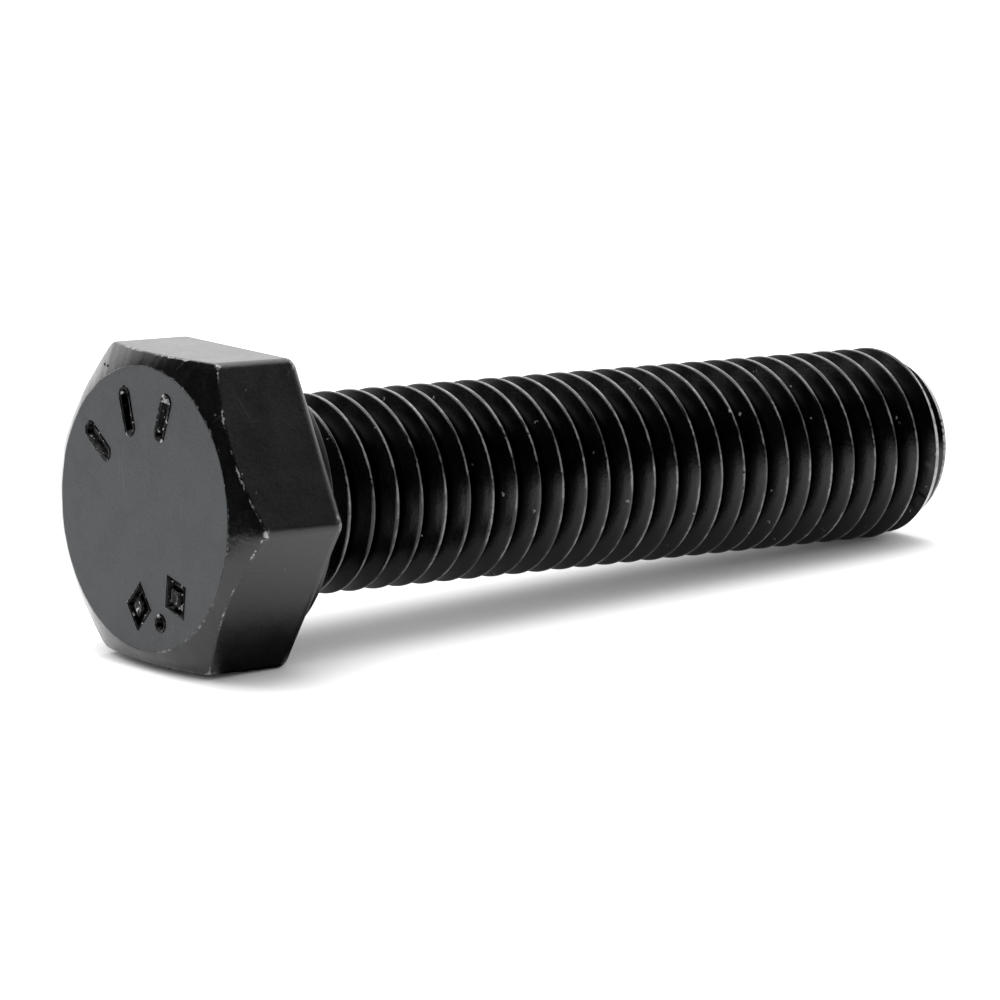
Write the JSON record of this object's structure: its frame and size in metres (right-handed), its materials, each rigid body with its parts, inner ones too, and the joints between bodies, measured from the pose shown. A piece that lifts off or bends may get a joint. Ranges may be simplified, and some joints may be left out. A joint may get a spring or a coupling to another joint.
{
  "type": "hex bolt",
  "caption": "Black hex head bolt, threaded right up to the head, with a chamfered flat top and a chamfered point.",
  "frame": {"origin": "middle of the head's flat top face, on the bolt's axis", "axes": "+X along the bolt's axis from the flat top towards the point, +Z out of one of the hexagon's flats, so the bolt lies on its side"},
  "size_m": [0.0575, 0.0206, 0.018],
  "materials": {
    "blackened_head": "satin",
    "blackened_thread": "satin"
  },
  "bodies": {
    "root": {"hex_head": "blackened_head", "threaded_shank": "blackened_thread"}
  },
  "joints": []
}
